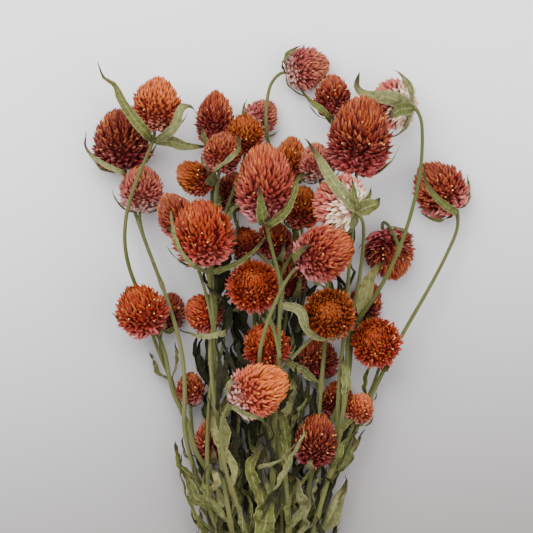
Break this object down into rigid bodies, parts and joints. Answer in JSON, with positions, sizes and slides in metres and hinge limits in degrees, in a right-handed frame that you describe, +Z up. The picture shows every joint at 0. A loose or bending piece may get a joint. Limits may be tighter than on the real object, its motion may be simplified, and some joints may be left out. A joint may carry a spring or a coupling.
{
  "type": "dried globe amaranth bunch",
  "caption": "Tied bunch of dried globe amaranth lying on its side: bristly round heads in oranges, reds and pinks on thin leafy stems.",
  "frame": {"origin": "bottom centre of the bunch's box, on the surface that it lies on", "axes": "+Y along the bunch from the cut ends to the heads, +Z up from the surface, +X to the right as seen from above with the heads upward in the picture"},
  "size_m": [0.1942, 0.3796, 0.0804],
  "materials": {
    "bracts_orange": "matt, papery, orange bracts",
    "bracts_red": "matt, papery, red bracts",
    "bracts_dark_red": "matt, papery, dark red bracts",
    "bracts_pink": "matt, papery, dusty pink bracts",
    "bracts_salmon": "matt, papery, pale salmon bracts",
    "dried_green": "matt, dry, grey-green",
    "twine": "matt plain twine"
  },
  "bodies": {
    "root": {"bloom_01": "bracts_salmon", "bloom_02": "bracts_red", "bloom_03": "bracts_pink", "bloom_04": "bracts_orange", "bloom_05": "bracts_dark_red", "bloom_06": "bracts_red", "bloom_07": "bracts_orange", "bloom_08": "bracts_red", "bloom_09": "bracts_orange", "bloom_10": "bracts_red", "bloom_11": "bracts_orange", "bloom_12": "bracts_red", "bloom_13": "bracts_orange", "bloom_14": "bracts_orange", "bloom_15": "bracts_pink", "bloom_16": "bracts_dark_red", "bloom_17": "bracts_dark_red", "bloom_18": "bracts_pink", "bloom_19": "bracts_orange", "bloom_20": "bracts_pink", "bloom_21": "bracts_orange", "bloom_22": "bracts_pink", "bloom_23": "bracts_red", "bloom_24": "bracts_orange", "bloom_25": "bracts_pink", "bloom_26": "bracts_dark_red", "bloom_27": "bracts_red", "bloom_28": "bracts_red", "bloom_29": "bracts_orange", "bloom_30": "bracts_salmon", "bloom_31": "bracts_pink", "bloom_32": "bracts_dark_red", "bloom_33": "bracts_pink", "bloom_34": "bracts_orange", "bloom_35": "bracts_red", "bloom_36": "bracts_orange", "bloom_37": "bracts_red", "bloom_38": "bracts_orange", "bloom_39": "bracts_dark_red", "bloom_40": "bracts_salmon", "bloom_41": "bracts_red", "stem_01": "dried_green", "stem_02": "dried_green", "stem_03": "dried_green", "stem_04": "dried_green", "stem_05": "dried_green", "stem_06": "dried_green", "stem_07": "dried_green", "stem_08": "dried_green", "stem_09": "dried_green", "stem_10": "dried_green", "stem_11": "dried_green", "stem_12": "dried_green", "stem_13": "dried_green", "stem_14": "dried_green", "stem_15": "dried_green", "stem_16": "dried_green", "stem_17": "dried_green", "stem_18": "dried_green", "tie": "twine"}
  },
  "joints": []
}
